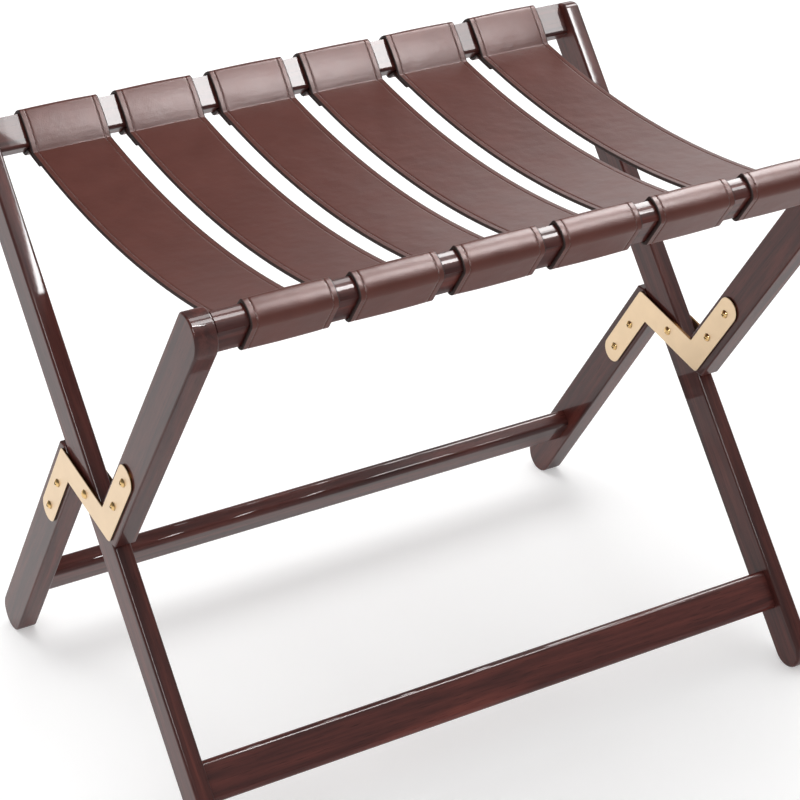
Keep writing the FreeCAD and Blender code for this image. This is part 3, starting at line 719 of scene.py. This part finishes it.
class BENCH_OT_stage(bpy.types.Operator):
    """Adds the pale floor, the studio lamps and the camera"""
    bl_idname = "bench.stage"
    bl_label = "Studio"

    def execute(self, context):
        scene = context.scene
        scene.view_settings.view_transform = "Standard"
        square = [(x * FLOOR_HALF, y * FLOOR_HALF, 0.0) for x, y in ((-1, -1), (1, -1), (1, 1), (-1, 1))]
        mesh = bpy.data.meshes.new("studio_floor")
        mesh.from_pydata(square, [], [(0, 1, 2, 3)])
        floor = bpy.data.objects.new("studio_floor", mesh)
        floor.location.z = FLOOR_Z
        scene.collection.objects.link(floor)
        mesh.materials.append(self.floor_material(scene))
        self.light_world(scene)
        for name, left, right, low, high, radiance, lean in CARDS:
            self.card(name, left, right, low, high, radiance, math.radians(lean))
        for name, place, target, size, radiance, on_matt, on_glossy in SOFTBOXES:
            made = softbox(name, place, target, size, radiance)
            made.visible_diffuse, made.visible_glossy = on_matt, on_glossy
        lens = bpy.data.cameras.new("camera")
        lens.lens = LENS
        lens.sensor_width = SENSOR
        lens.shift_y = SHIFT
        lens.clip_end = 100.0
        camera = bpy.data.objects.new("camera", lens)
        turn = Matrix((CAMERA_RIGHT, CAMERA_UP, CAMERA_BACK)).transposed().to_4x4()
        camera.matrix_world = Matrix.Translation(CAMERA_PLACE) @ turn
        scene.collection.objects.link(camera)
        scene.camera = camera
        return {"FINISHED"}

    @staticmethod
    def card(name, left, right, low, high, radiance, lean):
        """A lamp on the slanted plane in front of the bench that only shows as a reflection.

        left and right are along X, and low and high up the plane, from the line that the long legs' tops mirror.
        The card leans to the left within its plane by the angle lean.
        """
        middle = Vector(((left + right) / 2.0, *CARD_LINE)) + Vector(CARD_RISE) * (low + high) / 2.0
        made = softbox(name, middle, middle + Vector(CARD_FACING), (right - left, high - low), radiance)
        made.rotation_euler.rotate_axis("Z", lean)
        made.visible_diffuse = False

    @staticmethod
    def ray_kinds(tree):
        """Two sockets: 1 for camera rays, and 1 for glossy and transmission rays."""
        path = node(tree, "ShaderNodeLightPath")
        shiny = node(tree, "ShaderNodeMath", {"operation": "MAXIMUM"},
                     {FIRST: path.outputs["Is Glossy Ray"], SECOND: path.outputs["Is Transmission Ray"]})
        return path.outputs["Is Camera Ray"], shiny.outputs["Value"]

    def floor_material(self, scene):
        """Matt white paper on the floor: it takes soft shadows, and shows as white where none fall.

        The camera sees more and more of a white glow in place of the lit paper from 0.9 m to 3 m from the bench, so
        the far floor shows as white. Glossy surfaces see a fixed share of the glow.
        """
        material, tree = new_material("matt_paper_sweep")
        tint = rgba(scene.bench_colours.floor)
        paper = node(tree, "ShaderNodeBsdfDiffuse", {"Color": tint})
        glow = node(tree, "ShaderNodeEmission", {"Color": (1.0, 1.0, 1.0, 1.0), "Strength": GLOW_STRENGTH})
        camera, shiny = self.ray_kinds(tree)
        where = node(tree, "ShaderNodeTexCoord")
        far = node(tree, "ShaderNodeVectorMath", {"operation": "LENGTH"}, {FIRST: where.outputs["Object"]})
        fade = node(tree, "ShaderNodeMapRange",
                    {"From Min": GLOW_NEAR, "From Max": GLOW_FAR, "To Min": GLOW_LEAST, "To Max": 1.0},
                    {"Value": far.outputs["Value"]})
        seen = node(tree, "ShaderNodeMath", {"operation": "MULTIPLY"}, {FIRST: camera, SECOND: fade.outputs["Result"]})
        mirrored = node(tree, "ShaderNodeMath", {"operation": "MULTIPLY", SECOND: GLOW_MIRRORED}, {FIRST: shiny})
        share = node(tree, "ShaderNodeMath", {"operation": "MAXIMUM"},
                     {FIRST: seen.outputs["Value"], SECOND: mirrored.outputs["Value"]})
        mixed = node(tree, "ShaderNodeMixShader", {},
                     {SHARE: share.outputs["Value"], SHADER_A: paper.outputs["BSDF"],
                      SHADER_B: glow.outputs["Emission"]})
        node(tree, "ShaderNodeOutputMaterial", {}, {"Surface": mixed.outputs["Shader"]})
        return material

    def light_world(self, scene):
        """White where it is seen, even grey where it lights matt surfaces, and fading upwards in glossy ones."""
        world = bpy.data.worlds.new("studio")
        world.use_nodes = True
        tree = world.node_tree
        tree.nodes.clear()
        camera, shiny = self.ray_kinds(tree)
        where = node(tree, "ShaderNodeTexCoord")
        parts = node(tree, "ShaderNodeSeparateXYZ", {}, {"Vector": where.outputs["Generated"]})
        sweep = node(tree, "ShaderNodeMapRange", {"From Min": 0.1, "From Max": 0.4, "To Min": 0.95, "To Max": 0.22},
                     {"Value": parts.outputs["Z"]})
        unseen = node(tree, "ShaderNodeMix", {"data_type": "FLOAT", NUMBER_A: 0.7},
                      {SHARE: shiny, NUMBER_B: sweep.outputs["Result"]})
        strength = node(tree, "ShaderNodeMix", {"data_type": "FLOAT", NUMBER_B: 1.0},
                        {SHARE: camera, NUMBER_A: unseen.outputs[NUMBER_OUT]})
        light = node(tree, "ShaderNodeBackground", {"Color": (1.0, 1.0, 1.0, 1.0)},
                     {"Strength": strength.outputs[NUMBER_OUT]})
        node(tree, "ShaderNodeOutputWorld", {}, {"Surface": light.outputs["Background"]})
        scene.world = world


class BENCH_PT_panel(bpy.types.Panel):
    """Lists the bench's pieces, sizes and colours"""
    bl_idname = "BENCH_PT_panel"
    bl_label = "Luggage bench"
    bl_space_type = "VIEW_3D"
    bl_region_type = "UI"
    bl_category = "Luggage bench"

    def draw(self, context):
        for operator in OPERATORS:
            self.layout.operator(operator.bl_idname)
        for group in (context.scene.bench_sizes, context.scene.bench_straps, context.scene.bench_colours):
            for name in group.bl_rna.properties.keys():
                if name not in ("rna_type", "name"):
                    self.layout.prop(group, name)


OPERATORS = (BENCH_OT_wood, BENCH_OT_brass, BENCH_OT_straps, BENCH_OT_stage)
GROUPS = (("bench_sizes", BenchSizes), ("bench_straps", StrapSizes), ("bench_colours", FinishColours))


def register():
    for name, group in GROUPS:
        bpy.utils.register_class(group)
        setattr(bpy.types.Scene, name, PointerProperty(type=group))
    for made in (*OPERATORS, BENCH_PT_panel):
        bpy.utils.register_class(made)


def unregister():
    for made in reversed((*OPERATORS, BENCH_PT_panel)):
        bpy.utils.unregister_class(made)
    for name, group in reversed(GROUPS):
        delattr(bpy.types.Scene, name)
        bpy.utils.unregister_class(group)


def main():
    register()
    bpy.ops.bench.wood()
    bpy.ops.bench.brass()
    bpy.ops.bench.straps()
    bpy.ops.bench.stage()


if __name__ == "__main__":
    main()
